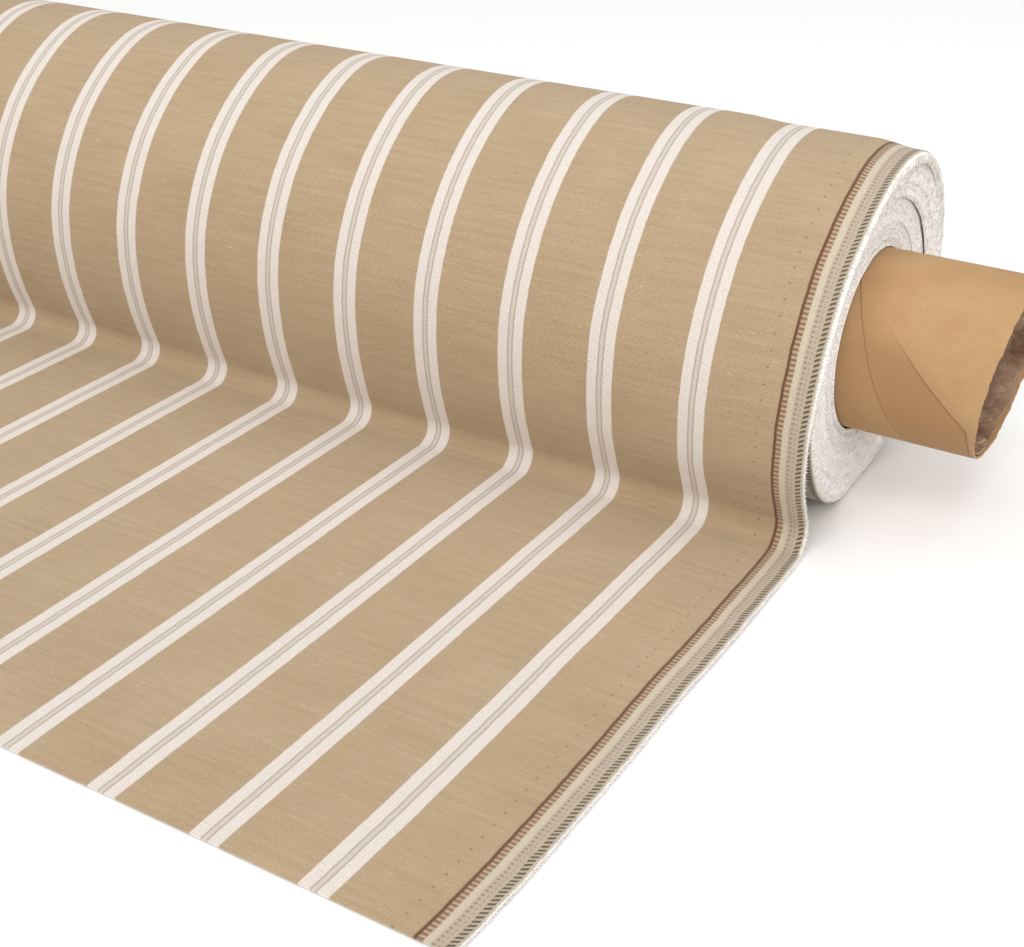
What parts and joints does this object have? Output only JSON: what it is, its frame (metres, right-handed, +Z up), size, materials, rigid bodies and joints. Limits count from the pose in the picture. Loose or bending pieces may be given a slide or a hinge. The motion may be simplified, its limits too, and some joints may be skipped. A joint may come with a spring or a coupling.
{
  "type": "fabric bolt",
  "caption": "Striped cotton cloth rolled on a spirally wound kraft paper tube, lying on its side with its free end spread flat in front; the roll turns to pay cloth out.",
  "frame": {"origin": "centre of the underside of the whole object as it lies, free end included", "axes": "+X along the roll's axis towards the tube end that the view shows, +Y from the free end towards the back of the roll, +Z up"},
  "size_m": [1.466, 0.317, 0.1166],
  "materials": {
    "kraft_paper": "matte",
    "core_board": "matte",
    "liner_paper": "matte",
    "paper_tape": "satin",
    "striped_cotton": "matte"
  },
  "bodies": {
    "laid_cloth": {"loose_turns": "striped_cotton", "cloth_tail": "striped_cotton"},
    "roll": {"wound_cloth": "striped_cotton", "start_tape": "paper_tape", "tube_liner_ply": "liner_paper", "tube_inner_core_ply": "core_board", "tube_outer_core_ply": "core_board", "tube_face_ply": "kraft_paper"}
  },
  "joints": [
    {"name": "roll_turn", "type": "hinge", "parent": "laid_cloth", "child": "roll", "pos_m": [0, 0.09748, 0.05356], "axis": [1, 0, 0], "continuous": true}
  ]
}
